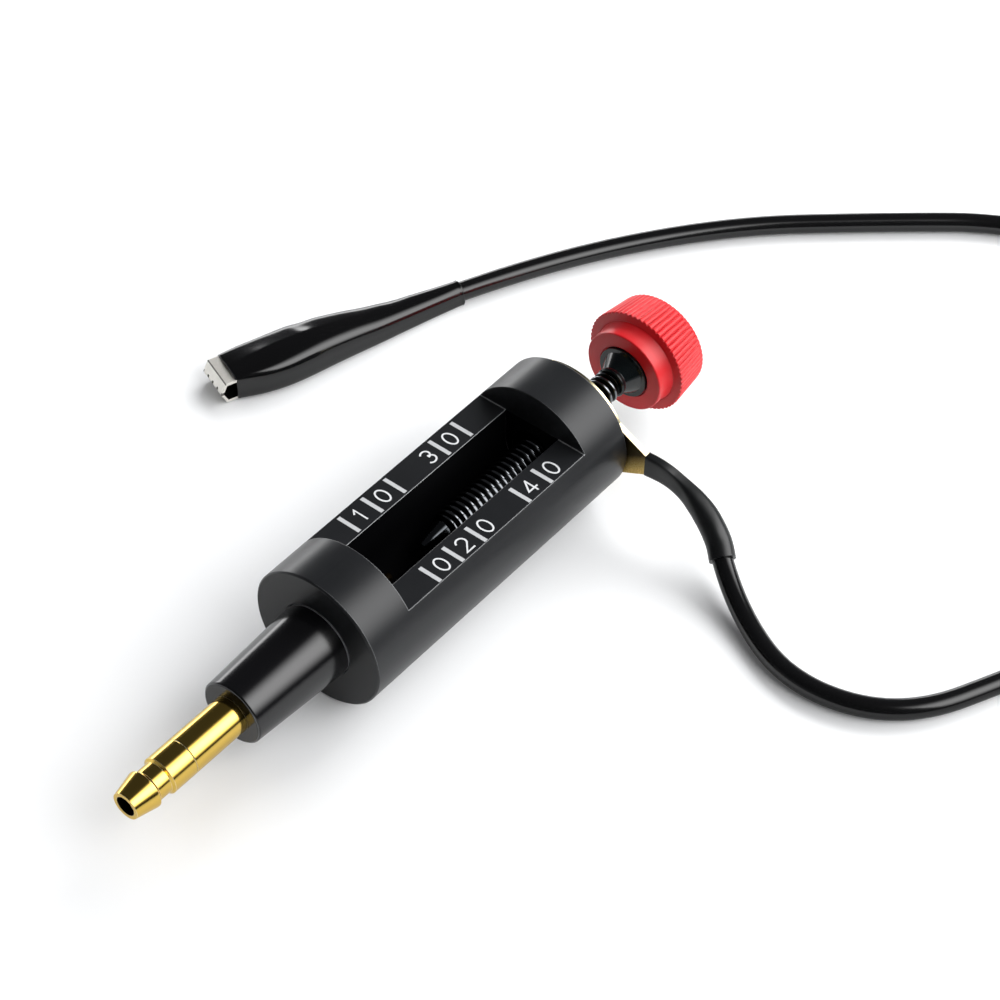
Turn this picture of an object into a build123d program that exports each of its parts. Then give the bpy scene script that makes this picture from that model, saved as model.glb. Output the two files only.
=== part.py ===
from build123d import *
from math import cos, pi, radians, sin, tan
import os

# Inline spark tester, lying on a table. Millimetres, +Z up.
# X is the axis of the tester and points from the high-voltage terminal to the knob.
# The origin is on that axis, in the flat end of the plug insulator, where the terminal comes out of it.

# Driving dimensions

# Casing: a round black moulding with a window cut in its upper side
casing_diameter = 25.0
casing_length = 61.4
casing_edge_bevel = 0.25
window_land = 9.2  # solid end in front of the window
window_length = 43.0
window_depth = 6.2  # from the top of the round down to the flat that carries the scale
chamber_width = 10.8  # slot in the flat, with a round floor about the axis

# Plug insulator: a tapered sleeve that a spark plug cap pushes over
insulator_length = 19.1  # what stands out of the casing
insulator_root_diameter = 13.2
insulator_tip_diameter = 11.3
insulator_spigot = 5.0  # what sits in the casing
insulator_edge_bevel = 0.3

# High-voltage terminal: a brass barrel and a brass nut with a tapered nose, on one threaded rod
terminal_diameter = 6.5
barrel_length = 10.7  # from the insulator to the parting line
barrel_spigot_diameter = 5.4
barrel_spigot_length = 4.0  # what sits in the insulator
nut_barrel_length = 4.6  # from the parting line to the shoulder
nut_shoulder_step = 0.35
groove_diameter = 5.5
groove_length = 2.3
nose_back_flare = 0.5
nose_rim = 0.25  # short straight rim at the nose's widest place
nose_taper_length = 3.9
nose_tip_diameter = 4.8
nose_bore_diameter = 3.5
nose_bore_depth = 3.0

# Fixed electrode: the rod through insulator and front wall, held by a washer and a nut in the chamber
rod_diameter = 4.0
rod_cone_length = 3.6
rod_tip_diameter = 1.4
scale_zero = 16.9  # casing face to the zero of the scale, where both electrode tips meet
washer_diameter = 8.6
washer_thickness = 0.8
electrode_nut_flats = 7.0
electrode_nut_thickness = 1.4

# Threaded bush: a flanged brass insert in the rear wall, which also holds the ground plate
bush_diameter = 8.0
bush_flange_diameter = 12.0
bush_flange_thickness = 1.0

# Ground plate: a brass disc with a tapering tab towards the cord
plate_diameter = 22.8
plate_thickness = 1.0
tab_reach = 16.1  # axis to the end of the sleeve on the tab
tab_width = 4.2
tab_root_reach = 10.0  # axis to where the tab's straight sides meet the disc
tab_root_width = 10.6
tongue_width = 3.2
tongue_length = 3.6  # narrow end of the tab inside the sleeve

# Adjusting screw, round bush and knob
thread_diameter = 5.3
thread_pitch = 1.27
screw_cone_length = 5.2
screw_cone_diameter = 4.0
screw_tip_diameter = 1.6
shank_diameter = 3.6
shank_grip = 8.6  # length of shank held in the knob
rest_gap = 7.8  # between the electrode tips, as the screw stands
thread_outside = 9.4  # thread seen behind the bush flange, as the screw stands
neck_diameter = 5.0
neck_bead_diameter = 5.5
neck_bead_length = 0.7
neck_length = 1.1
cone_length = 2.2
cone_diameter = 8.0
cone_flange_diameter = 9.4
cone_flange_thickness = 1.1
recess_depth = 0.8  # pocket in the collar that the cone's flange sits in
collar_diameter = 15.1
collar_length = 3.3
cove_length = 1.5  # the collar flares into the ring in two slants
cove_flare = 0.6
knurl_front_diameter = 19.3
knurl_rear_diameter = 17.8
knurl_length = 7.3
knurl_depth = 0.35
knurl_count = 60
knob_rear_bevel = 0.7
knob_dish_diameter = 12.0
knob_dish_depth = 0.6

# Fits
slip = 0.05  # radial clearance of a plain fit, and of screw and shank in their bores
end_float = 0.05  # play along the axis of a piece that another turns in
flange_gap = 0.15  # round gap between the cone's flange and its pocket
spring_gap = 0.05  # legs of the clip's spring to the jaws they press on

# Heat-shrink sleeve: flat over the tab, round over the cord, and bowed to the rear and up between them
sleeve_wall = 0.4
sleeve_diameter = 4.4
sleeve_stations = [  # share of the way from tab to cord, bow to the rear, bow up, thickness, height
    (0.137, 0.6, 1.0, 1.9, 4.4),
    (0.273, 1.5, 1.3, 1.9, 4.2),
    (0.41, 2.0, 1.5, 2.5, 4.3),
    (0.541, 2.2, 1.5, 3.5, 4.5),
    (0.667, 2.1, 1.3, 4.0, 4.4),
    (0.896, 1.1, 0.4, 4.4, 4.4),
]
sleeve_mouth_ease = 0.2  # extra thickness where the sleeve ends on the tab

# Ground cord: its middle line from the sleeve to the clip, from the plate's middle, the axis and the table
cord_diameter = 3.5
sleeve_end = (-3.6, -34.4, 5.2)
cord_turns = [
    (-8.7, -41.3),
    (-15.6, -57.2),
    (-9.9, -74.0),
    (8.7, -83.0),
    (36.8, -95.0),
    (69.0, -93.0),
    (96.0, -76.0),
    (107.1, -51.0),
    (99.6, -24.3),
    (84.7, -5.9),
    (64.8, 16.6),
    (34.6, 36.3),
    (13.7, 44.3),
]
strand_diameter = 1.6
strand_stub = 1.0  # bare end that shows in front of the crimp
bend_share = 0.45  # share of the shorter run that an arc of the cord takes

# Ground clip, in its own frame: U from the boot's mouth to the cord, V across, W up from the table
boot_stations = [  # U, bulge to the near side, width, height
    (0.0, 0.0, 8.1, 5.3),
    (5.0, 0.5, 9.8, 6.0),
    (9.0, 0.8, 10.1, 6.4),
    (12.5, 0.7, 9.8, 6.5),
    (20.0, 0.5, 8.4, 6.1),
    (28.0, 0.4, 7.0, 5.1),
    (36.0, 0.2, 5.4, 4.4),
    (37.6, 0.1, 5.1, 4.3),
    (45.3, 0.0, 4.0, 4.0),
]
boot_corner = 1.0
boot_lining_corner = 0.35
boot_wall = 0.5
cord_inset = 8.3  # length of cord held in the boot
jaw_width = 7.0
jaw_sheet = 0.5
jaw_top = 4.7
jaw_plate_end = 9.8  # end of the full width, in front of the ears
lip_bend = 2.1  # mouth of the boot to the bend of the jaw
lip_reach = 3.1  # mouth of the boot to the biting edge
bite_height = 2.5
bite_gap = 0.1
tooth_count = 4
tooth_notch = 0.4
ear_start = 10.6
ear_end = 16.4
ear_top = 5.0
ear_slant = 1.5
ear_outside = 6.4  # across the ears of the lower jaw
ear_gap = 0.15  # between the ears of the two jaws
pivot_along = 13.5
pivot_height = 3.2
pin_diameter = 1.6
tail_taper = 5.0  # the lower jaw narrows behind its ears to the width of the crimp
crown_start = 12.0
crown_end = 16.0
crown_height = 5.5
crown_lap = 1.0  # the upper jaw's narrow rear part starts this far inside its full width
handle_end = 24.0
handle_tip_height = 4.9
crimp_start = 28.0
crimp_length = 5.0
crimp_wall = 0.5
spring_wire = 0.6
spring_turns = 4
spring_inside_diameter = 2.0
spring_leg_reach = 6.5
spring_leg_depth = 0.33  # outside of the coil to the middle of a leg
spring_leg_inset = 0.36  # end of the coil to the middle of a leg
pin_head_step = 0.4
pin_head_thickness = 0.3

# Places along the axis

casing_front = insulator_length
chamber_front = casing_front + window_land
chamber_rear = chamber_front + window_length
casing_rear = casing_front + casing_length
plate_rear = casing_rear + plate_thickness
flange_rear = plate_rear + bush_flange_thickness
rod_tip = casing_front + scale_zero
screw_tip = rod_tip + rest_gap
thread_end = flange_rear + thread_outside
cone_flange_rear = thread_end + 2 * end_float + neck_length + cone_length + cone_flange_thickness
knob_face = cone_flange_rear - recess_depth
floor = -casing_diameter / 2
plate_middle = casing_rear + plate_thickness / 2

os.makedirs("parts", exist_ok=True)


def save(node, shape):
    """Writes one sub-part under its own name."""
    shape.label = node
    export_step(shape, f"parts/{node}.step")


def turned(*profile):
    """A round piece about the X axis, from (x, radius) points."""
    return revolve(Plane.XZ * make_face(Polyline(*profile, close=True)), Axis.X)


def drum(start, end, diameter):
    """A plain cylinder on the X axis."""
    radius = diameter / 2
    return turned((start, 0), (start, radius), (end, radius), (end, 0))


def block(x, y, z):
    """A box from three pairs of limits."""
    size = (x[1] - x[0], y[1] - y[0], z[1] - z[0])
    return Pos((x[0] + x[1]) / 2, (y[0] + y[1]) / 2, (z[0] + z[1]) / 2) * Box(*size)


def side_sheet(outline, width):
    """A folded sheet seen from the side as (U, W) points, with its middle on V = 0."""
    return extrude(Plane.XZ * make_face(Polyline(*outline, close=True)), width / 2, both=True)


# Casing

def make_casing():
    body = drum(casing_front, casing_rear, casing_diameter)
    body = chamfer(body.edges().filter_by(GeomType.CIRCLE), casing_edge_bevel)
    top = casing_diameter
    flat = casing_diameter / 2 - window_depth
    window = (chamber_front, chamber_rear)
    body -= block(window, (-top, top), (flat, top))
    body -= block(window, (-chamber_width / 2, chamber_width / 2), (0, top))
    body -= drum(*window, chamber_width)
    body -= drum(casing_front, casing_front + insulator_spigot, insulator_root_diameter + 2 * slip)
    body -= drum(casing_front, chamber_front, rod_diameter + 2 * slip)
    body -= drum(chamber_rear, casing_rear, bush_diameter + 2 * slip)
    return body


# Plug insulator, with a counterbore for the barrel's spigot

def make_insulator():
    root = insulator_root_diameter / 2
    end = casing_front + insulator_spigot
    body = turned(
        (0, 0),
        (0, insulator_tip_diameter / 2),
        (casing_front, root),
        (end, root),
        (end, 0),
    )
    tip_edge = body.edges().filter_by(GeomType.CIRCLE).sort_by(Axis.X)[0]
    body = chamfer(tip_edge, insulator_edge_bevel)
    body -= drum(0, barrel_spigot_length, barrel_spigot_diameter + 2 * slip)
    body -= drum(0, end, rod_diameter + 2 * slip)
    return body


# High-voltage terminal

def make_barrel():
    body = drum(-barrel_length, 0, terminal_diameter)
    body += drum(0, barrel_spigot_length, barrel_spigot_diameter)
    return body - drum(-barrel_length, barrel_spigot_length, rod_diameter + 2 * slip)


nut_shoulder = -barrel_length - nut_barrel_length
groove_end = nut_shoulder - nut_shoulder_step - groove_length
nose_rim_front = groove_end - nose_back_flare - nose_rim
nose_tip = nose_rim_front - nose_taper_length
rod_start = nose_tip + nose_bore_depth


def make_terminal_nut():
    radius = terminal_diameter / 2
    groove = groove_diameter / 2
    body = turned(
        (-barrel_length, 0),
        (-barrel_length, radius),
        (nut_shoulder, radius),
        (nut_shoulder - nut_shoulder_step, groove),
        (groove_end, groove),
        (groove_end - nose_back_flare, radius),
        (nose_rim_front, radius),
        (nose_tip, nose_tip_diameter / 2),
        (nose_tip, 0),
    )
    body -= drum(nose_tip, rod_start, nose_bore_diameter)
    return body - drum(rod_start, -barrel_length, rod_diameter + 2 * slip)


# Fixed electrode and what clamps it

def make_electrode_rod():
    radius = rod_diameter / 2
    return turned(
        (rod_start, 0),
        (rod_start, radius),
        (rod_tip - rod_cone_length, radius),
        (rod_tip, rod_tip_diameter / 2),
        (rod_tip, 0),
    )


washer_rear = chamber_front + washer_thickness


def make_electrode_washer():
    body = drum(chamber_front, washer_rear, washer_diameter)
    return body - drum(chamber_front, washer_rear, rod_diameter + 2 * slip)


def make_electrode_nut():
    hexagon = RegularPolygon(electrode_nut_flats / 2, 6, major_radius=False)
    end = washer_rear + electrode_nut_thickness
    body = extrude(Plane.YZ.offset(washer_rear) * hexagon, electrode_nut_thickness)
    return body - drum(washer_rear, end, rod_diameter + 2 * slip)


# Ground plate and threaded bush

def make_ground_plate():
    tab = [(-tab_root_reach, -tab_root_width / 2), (-tab_reach, -tab_width / 2)]
    tab += [(y, -z) for y, z in reversed(tab)]
    outline = Circle(plate_diameter / 2) + make_face(Polyline(*tab, close=True))
    outline += Pos(-tab_reach - tongue_length / 2, 0) * Rectangle(tongue_length, tongue_width)
    outline -= Circle(bush_diameter / 2 + slip)
    return extrude(Plane.YZ.offset(casing_rear) * outline, plate_thickness)


def make_threaded_bush():
    body = drum(chamber_rear, plate_rear, bush_diameter)
    body += drum(plate_rear, flange_rear, bush_flange_diameter)
    return body - drum(chamber_rear, flange_rear, thread_diameter + 2 * slip)


# Adjusting screw: cone point, thread drawn plain at its outside diameter, and a shank for bush and knob

def make_adjusting_screw():
    cone_end = screw_tip + screw_cone_length
    shank_end = cone_flange_rear + end_float + shank_grip
    return turned(
        (screw_tip, 0),
        (screw_tip, screw_tip_diameter / 2),
        (cone_end, screw_cone_diameter / 2),
        (cone_end + thread_pitch / 4, thread_diameter / 2),
        (thread_end, thread_diameter / 2),
        (thread_end, shank_diameter / 2),
        (shank_end, shank_diameter / 2),
        (shank_end, 0),
    )


def make_knob_bush():
    start = thread_end + end_float
    neck = neck_diameter / 2
    bead_end = start + neck_bead_length
    cone_start = start + neck_length
    cone_end = cone_start + cone_length
    flange_end = cone_end + cone_flange_thickness
    body = turned(
        (start, 0),
        (start, neck),
        (start + neck_bead_length / 3, neck_bead_diameter / 2),
        (bead_end - neck_bead_length / 3, neck_bead_diameter / 2),
        (bead_end, neck),
        (cone_start, neck),
        (cone_end, cone_diameter / 2),
        (cone_end, cone_flange_diameter / 2),
        (flange_end, cone_flange_diameter / 2),
        (flange_end, 0),
    )
    return body - drum(start, flange_end, shank_diameter + 2 * slip)


# Knob: a plain collar and a ring of straight flutes that tapers to the rear

def fluted_outline(diameter):
    """A ring of V-shaped teeth with its outside diameter at the tips."""
    corners = []
    for i in range(2 * knurl_count):
        radius = diameter / 2 - (knurl_depth if i % 2 else 0)
        angle = pi * i / knurl_count
        corners.append((radius * cos(angle), radius * sin(angle)))
    return make_face(Polyline(*corners, close=True))


knurl_start = knob_face + collar_length
knob_rear = knurl_start + knurl_length


def make_knob():
    front = Plane.YZ.offset(knurl_start) * fluted_outline(knurl_front_diameter)
    rear = Plane.YZ.offset(knob_rear) * fluted_outline(knurl_rear_diameter)
    body = loft([front.face(), rear.face()], ruled=True)
    edge = knurl_rear_diameter / 2
    body -= turned(
        (knob_rear, edge - knob_rear_bevel),
        (knob_rear, edge + knob_rear_bevel),
        (knob_rear - 2 * knob_rear_bevel, edge + knob_rear_bevel),
    )
    body += turned(
        (knob_face, 0),
        (knob_face, collar_diameter / 2),
        (knurl_start - cove_length, collar_diameter / 2),
        (knurl_start - cove_length / 3, collar_diameter / 2 + cove_flare / 3),
        (knurl_start, collar_diameter / 2 + cove_flare),
        (knurl_start, 0),
    )
    pocket_floor = knob_face + recess_depth + end_float
    body -= drum(knob_face, pocket_floor, cone_flange_diameter + 2 * flange_gap)
    body -= drum(pocket_floor, cone_flange_rear + end_float + shank_grip, shank_diameter)
    return body - drum(knob_rear - knob_dish_depth, knob_rear, knob_dish_diameter)


# Ground cord: straight runs joined by arcs as large as the runs allow

def on_table(point, height):
    return Vector(plate_middle + point[0], point[1], floor + height)


exit_point = on_table(sleeve_end, sleeve_end[2])
cord_points = [exit_point] + [on_table(p, cord_diameter / 2) for p in cord_turns]
clip_rise = Vector(0, 0, boot_stations[-1][3] / 2 - cord_diameter / 2)
cord_points[-1] += clip_rise
cord_points[-2] += clip_rise


def cord_radii(points):
    radii = []
    for before, here, after in zip(points, points[1:], points[2:]):
        turn = radians((here - before).get_angle(after - here))
        shorter = min((here - before).length, (after - here).length)
        radii.append(bend_share * shorter / tan(turn / 2))
    return radii


def make_cord():
    radii = cord_radii(cord_points)
    line = FilletPolyline(*cord_points, radius=radii)
    start = Plane(origin=line @ 0, z_dir=line % 0)
    tube = sweep(start * Circle(cord_diameter / 2), path=line)
    print("cord length", round(line.length, 1), "arc radii", [round(r, 1) for r in radii])
    print("cord volume", round(tube.volume), "from section", round(line.length * pi * cord_diameter**2 / 4))
    return tube


# Heat-shrink sleeve: ellipses from the flat tab to the round cord

def make_sleeve(plate):
    tab = Vector(plate_middle, -tab_reach, 0)
    way = exit_point - tab
    middles = [tab]
    sizes = [(plate_thickness + 2 * sleeve_wall + sleeve_mouth_ease, tab_width + 2 * sleeve_wall)]
    for share, rearward, upward, thickness, height in sleeve_stations:
        middles.append(tab + way * share + Vector(rearward, 0, upward))
        sizes.append((thickness, height))
    middles.append(exit_point)
    sizes.append((sleeve_diameter, sleeve_diameter))
    directions = [Vector(0, -1, 0)]
    directions += [(after - before).normalized() for before, after in zip(middles, middles[2:])]
    directions.append((cord_points[1] - cord_points[0]).normalized())
    sections = []
    for middle, direction, (thickness, height) in zip(middles, directions, sizes):
        across = Vector(1, 0, 0) - direction * direction.X
        place = Plane(origin=middle, x_dir=across, z_dir=direction)
        sections.append((place * Ellipse(thickness / 2, height / 2)).face())
    return loft(sections, ruled=True) - plate


# Ground clip: its frame lies on the table, and its long axis is the line of the cord's last run

boot_length = boot_stations[-1][0]
clip_axis = (cord_points[-2] - cord_points[-1]).normalized()
cord_stop = boot_length - cord_inset
clip_mouth = cord_points[-1] - clip_axis * cord_stop
clip_mouth.Z = floor
clip_place = Plane(origin=clip_mouth, x_dir=clip_axis, z_dir=(0, 0, 1)).location
cord_height = boot_stations[-1][3] / 2
base_low = boot_wall
base_high = boot_wall + jaw_sheet
pivot = (pivot_along, pivot_height)


def boot_shell(inset, mouth_corner, stations):
    """Straight skins between rounded rectangles that grow rounder towards the cord."""
    sections = []
    for u, bulge, width, height in stations:
        w = width - 2 * inset
        h = height - 2 * inset
        round_end = 0.48 * min(w, h)
        corner = mouth_corner + (round_end - mouth_corner) * (u / boot_length) ** 2
        place = Plane(origin=(u, -bulge, height / 2), x_dir=(0, 1, 0), z_dir=(1, 0, 0))
        sections.append((place * RectangleRounded(w, h, min(corner, round_end))).face())
    return loft(sections, ruled=True)


def make_boot(cord):
    shell = boot_shell(0, boot_corner, boot_stations)
    shell -= boot_shell(boot_wall, boot_lining_corner, boot_stations[:-1])
    return clip_place * shell - cord


def pin_hole(diameter):
    """A drill across the clip at the pivot."""
    middle = Plane.XZ * Pos(*pivot) * Circle(diameter / 2)
    return extrude(middle, jaw_width, both=True)


def tooth_gaps(low, high):
    """Notches that part the teeth of a biting edge."""
    gaps = []
    for i in range(1, tooth_count):
        v = jaw_width * (i / tooth_count - 0.5)
        across = (v - tooth_notch / 2, v + tooth_notch / 2)
        gaps.append(block((-lip_reach - jaw_sheet, -lip_bend), across, (low, high)))
    return gaps


def make_lower_jaw():
    neck = jaw_plate_end
    tail = crimp_start + crimp_length
    half_tail = strand_diameter / 2 + crimp_wall
    half_ears = ear_outside / 2
    front = side_sheet(
        [
            (neck, base_low),
            (-lip_bend, base_low),
            (-lip_reach, bite_height),
            (-lip_reach + jaw_sheet, bite_height),
            (-lip_bend + jaw_sheet / 2, base_high),
            (neck, base_high),
        ],
        jaw_width,
    )
    edge = [(neck, half_ears), (ear_end, half_ears), (ear_end + tail_taper, half_tail), (tail, half_tail)]
    plan = Polyline(*edge, *[(u, -v) for u, v in reversed(edge)], close=True)
    body = front + extrude(Plane.XY.offset(base_low) * make_face(plan), jaw_sheet)
    ears = side_sheet(
        [
            (ear_start, base_low),
            (ear_start, pivot_height),
            (ear_start + ear_slant, ear_top),
            (ear_end - ear_slant, ear_top),
            (ear_end, pivot_height),
            (ear_end, base_low),
        ],
        ear_outside,
    )
    inside = half_ears - jaw_sheet
    body += ears - block((0, tail), (-inside, inside), (base_high, 2 * ear_top))
    ring = Plane.YZ.offset(crimp_start) * Pos(0, cord_height) * Circle(half_tail)
    body += extrude(ring, crimp_length)
    hole = Plane.YZ.offset(crimp_start) * Pos(0, cord_height) * Circle(strand_diameter / 2)
    body -= extrude(hole, crimp_length)
    body -= tooth_gaps(bite_height - tooth_notch, bite_height)
    return clip_place * (body - pin_hole(pin_diameter))


def make_upper_jaw():
    neck = jaw_plate_end
    inner_width = ear_outside - 2 * jaw_sheet - 2 * ear_gap
    edge_low = bite_height + bite_gap
    front = side_sheet(
        [
            (neck, jaw_top),
            (-lip_bend, jaw_top),
            (-lip_reach, edge_low),
            (-lip_reach + jaw_sheet, edge_low),
            (-lip_bend + jaw_sheet / 2, jaw_top - jaw_sheet),
            (neck, jaw_top - jaw_sheet),
        ],
        jaw_width,
    )
    crown = [(neck - crown_lap, jaw_top), (neck, jaw_top), (crown_start, crown_height)]
    crown += [(crown_end, crown_height), (handle_end, handle_tip_height)]
    under = [(u, w - jaw_sheet) for u, w in reversed(crown)]
    body = front + side_sheet(crown + under, inner_width)
    cheek = pivot_height - pin_diameter
    ears = side_sheet(
        [
            (ear_start, jaw_top - jaw_sheet),
            (ear_start + jaw_sheet, pivot_height),
            (pivot_along - ear_slant, cheek),
            (pivot_along + ear_slant, cheek),
            (ear_end, pivot_height),
            (ear_end, crown_height - jaw_sheet),
            (crown_start, crown_height - jaw_sheet),
        ],
        inner_width,
    )
    inside = inner_width / 2 - jaw_sheet
    body += ears - block((0, handle_end), (-inside, inside), (0, 2 * crown_height))
    body -= tooth_gaps(edge_low, edge_low + tooth_notch)
    return clip_place * (body - pin_hole(pin_diameter + 2 * slip))


def across_clip(*profile):
    """A round piece about the pivot pin, from (distance across the clip, radius) points."""
    outline = Polyline(*[(radius, v) for v, radius in profile], close=True)
    return Pos(pivot_along, 0, pivot_height) * revolve(Plane.XY * make_face(outline), Axis.Y)


def make_pivot_pin():
    radius = pin_diameter / 2
    head = radius + pin_head_step
    seat = ear_outside / 2
    end = seat + pin_head_thickness
    body = across_clip(
        (-end, 0),
        (-end, head),
        (-seat, head),
        (-seat, radius),
        (seat, radius),
        (seat, head),
        (end, head),
        (end, 0),
    )
    return clip_place * body


def make_clip_spring():
    outside = spring_inside_diameter / 2 + spring_wire
    half_width = spring_turns * spring_wire / 2
    profile = [(-half_width, spring_inside_diameter / 2)]
    for i in range(spring_turns):
        start = -half_width + i * spring_wire
        profile += [(start, outside - spring_wire / 3), (start + spring_wire / 2, outside)]
    profile += [(half_width, outside - spring_wire / 3), (half_width, spring_inside_diameter / 2)]
    body = across_clip(*profile)
    lever = outside - spring_leg_depth
    clear = spring_wire / 2 + spring_gap
    for side, start, end in (
        (1, pivot_height + lever, handle_tip_height - jaw_sheet - clear),
        (-1, pivot_height - lever, base_high + clear),
    ):
        v = side * (half_width - spring_leg_inset)
        foot = Vector(pivot_along, v, start)
        reach = Vector(pivot_along + spring_leg_reach, v, end) - foot
        leg = Plane(origin=foot, z_dir=reach) * Circle(spring_wire / 2)
        body += extrude(leg, reach.length)
    return clip_place * body


def make_clip_strands():
    start = crimp_start - strand_stub
    end = Plane.YZ.offset(start) * Pos(0, cord_height) * Circle(strand_diameter / 2)
    return clip_place * extrude(end, cord_stop - start)


plate = make_ground_plate()
cord = make_cord()
save("casing", make_casing())
save("plug_insulator", make_insulator())
save("terminal_barrel", make_barrel())
save("terminal_nut", make_terminal_nut())
save("electrode_rod", make_electrode_rod())
save("electrode_washer", make_electrode_washer())
save("electrode_nut", make_electrode_nut())
save("threaded_bush", make_threaded_bush())
save("ground_plate", plate)
save("adjusting_screw", make_adjusting_screw())
save("knob_bush", make_knob_bush())
save("knob", make_knob())
save("heat_shrink_sleeve", make_sleeve(plate))
save("ground_cord", cord)
save("clip_boot", make_boot(cord))
save("clip_lower_jaw", make_lower_jaw())
save("clip_upper_jaw", make_upper_jaw())
save("clip_pivot_pin", make_pivot_pin())
save("clip_spring", make_clip_spring())
save("clip_strands", make_clip_strands())
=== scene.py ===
# %% [markdown]
# # An inline spark tester
#
# This lesson dresses a small ignition tool for a studio picture. A plug cap pushes over the brass terminal
# at one end, the red knob at the other end moves a screw, and the spark jumps between two electrodes in the
# open window. The rigid pieces come from the engineering model, at their real size and place. Here they get
# their finishes, and the lead, the soft boot, the heat-shrink sleeve, the thread, the fluted knob, the
# clip's spring and the printed scale are modelled.

# %% Load the model
from math import cos, hypot, pi, radians, sin

import bmesh
import bpy
from mathutils import Matrix, Vector
from mathutils.noise import noise


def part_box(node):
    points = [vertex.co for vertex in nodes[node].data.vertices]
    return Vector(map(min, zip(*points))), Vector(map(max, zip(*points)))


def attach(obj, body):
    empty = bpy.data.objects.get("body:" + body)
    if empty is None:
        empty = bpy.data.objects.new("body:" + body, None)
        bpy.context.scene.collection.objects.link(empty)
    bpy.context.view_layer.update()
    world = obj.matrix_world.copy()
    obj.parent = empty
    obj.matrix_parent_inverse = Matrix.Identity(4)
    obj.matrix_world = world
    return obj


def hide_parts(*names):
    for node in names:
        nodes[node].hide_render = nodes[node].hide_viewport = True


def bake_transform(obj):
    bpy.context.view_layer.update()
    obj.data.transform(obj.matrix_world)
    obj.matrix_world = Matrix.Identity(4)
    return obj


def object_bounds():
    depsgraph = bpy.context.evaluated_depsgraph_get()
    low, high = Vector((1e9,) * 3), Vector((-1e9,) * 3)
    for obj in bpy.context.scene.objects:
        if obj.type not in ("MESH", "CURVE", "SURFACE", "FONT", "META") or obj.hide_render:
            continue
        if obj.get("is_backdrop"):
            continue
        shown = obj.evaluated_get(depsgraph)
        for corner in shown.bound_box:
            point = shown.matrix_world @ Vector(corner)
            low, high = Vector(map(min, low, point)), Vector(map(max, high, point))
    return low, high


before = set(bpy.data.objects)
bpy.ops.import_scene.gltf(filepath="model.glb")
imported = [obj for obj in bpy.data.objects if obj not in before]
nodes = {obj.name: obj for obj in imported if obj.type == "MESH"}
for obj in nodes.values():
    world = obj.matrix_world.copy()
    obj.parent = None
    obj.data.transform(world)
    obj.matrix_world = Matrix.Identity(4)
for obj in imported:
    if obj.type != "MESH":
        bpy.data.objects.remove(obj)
model_low, model_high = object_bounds()
mm = 0.001
print("model size in mm", [round(side / mm, 1) for side in model_high - model_low])

# %% [markdown]
# ## The camera
#
# A product picture taken from a little under half a metre, with a long lens, keeps the round body from
# looking swollen. The camera could be pointed with a tracking constraint, but its place and its line of
# sight are known here, so the rotation is worked out once from that line.

# %% Camera


def new_object(name, data):
    """An object of its own in the scene, over a mesh, curve, lamp or camera."""
    thing = bpy.data.objects.new(name, data)
    bpy.context.scene.collection.objects.link(thing)
    return thing


camera = new_object("camera", bpy.data.cameras.new("camera"))
bpy.context.scene.camera = camera
line_of_sight = Vector((0.53534, 0.43954, -0.72130))
camera.location = Vector((-195.5, -212.4, 343.8)) * mm
camera.rotation_mode = "QUATERNION"
camera.rotation_quaternion = line_of_sight.to_track_quat("-Z", "Y")
camera.data.sensor_width = 36.0
camera.data.lens = 107.5
camera.data.clip_start = 0.02
bpy.context.scene.view_settings.view_transform = "Standard"
print("camera distance in mm", round(camera.location.length / mm))

# %% [markdown]
# ## The ground lead
#
# A ground lead is stranded copper in a soft black jacket, about as thick as a shoelace. It leaves the
# ground plate under its heat-shrink sleeve, drops to the table, swings round in one loose loop and ends in
# the clip. A mesh tube would need its own bends, so the lead is a curve: a few control points set the line,
# and a round bevel gives it its thickness. The order of the spline is set after its points, or Blender
# keeps it at straight runs.

# %% Ground lead
lead_width = 3.5 * mm
lead_route = [
    (0.07740, -0.0344, -0.00730),
    (0.07230, -0.0413, -0.01075),
    (0.06540, -0.0572, -0.01075),
    (0.07110, -0.0740, -0.01075),
    (0.08970, -0.0830, -0.01075),
    (0.11780, -0.0950, -0.01075),
    (0.15000, -0.0930, -0.01075),
    (0.17700, -0.0760, -0.01075),
    (0.18810, -0.0510, -0.01075),
    (0.18060, -0.0243, -0.01075),
    (0.16570, -0.0059, -0.01075),
    (0.14580, 0.0166, -0.01075),
    (0.11560, 0.0363, -0.01050),
    (0.09470, 0.0443, -0.01050),
]


def cord_curve(name, route, width):
    """A round cord along a smooth line that the route's points pull into shape."""
    curve = bpy.data.curves.new(name, "CURVE")
    curve.dimensions = "3D"
    spline = curve.splines.new("NURBS")
    spline.points.add(len(route) - 1)
    for point, place in zip(spline.points, route):
        point.co = (*place, 1.0)
    spline.order_u = 3
    spline.use_endpoint_u = True
    spline.resolution_u = 12
    curve.bevel_depth = width / 2
    curve.bevel_resolution = 7
    curve.use_fill_caps = True
    return new_object(name, curve)


ground_lead = cord_curve("ground_lead", lead_route, lead_width)
print("lead control points", len(lead_route))

# %% [markdown]
# ## Colours and nodes
#
# Colours are written as the hex values that a paint chart or a colour picker shows. The shader wants linear
# light, so one function turns them. One more adds a node with its settings and feeds its sockets by name,
# and a third starts a finish: a material, its shader and the place that its patterns follow.

# %% Colour and node helpers


def paint(code):
    """A hex colour as linear red, green, blue and alpha."""
    channels = [int(code[i : i + 2], 16) / 255 for i in (1, 3, 5)]
    linear = [c / 12.92 if c <= 0.04045 else ((c + 0.055) / 1.055) ** 2.4 for c in channels]
    return (*linear, 1.0)


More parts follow.
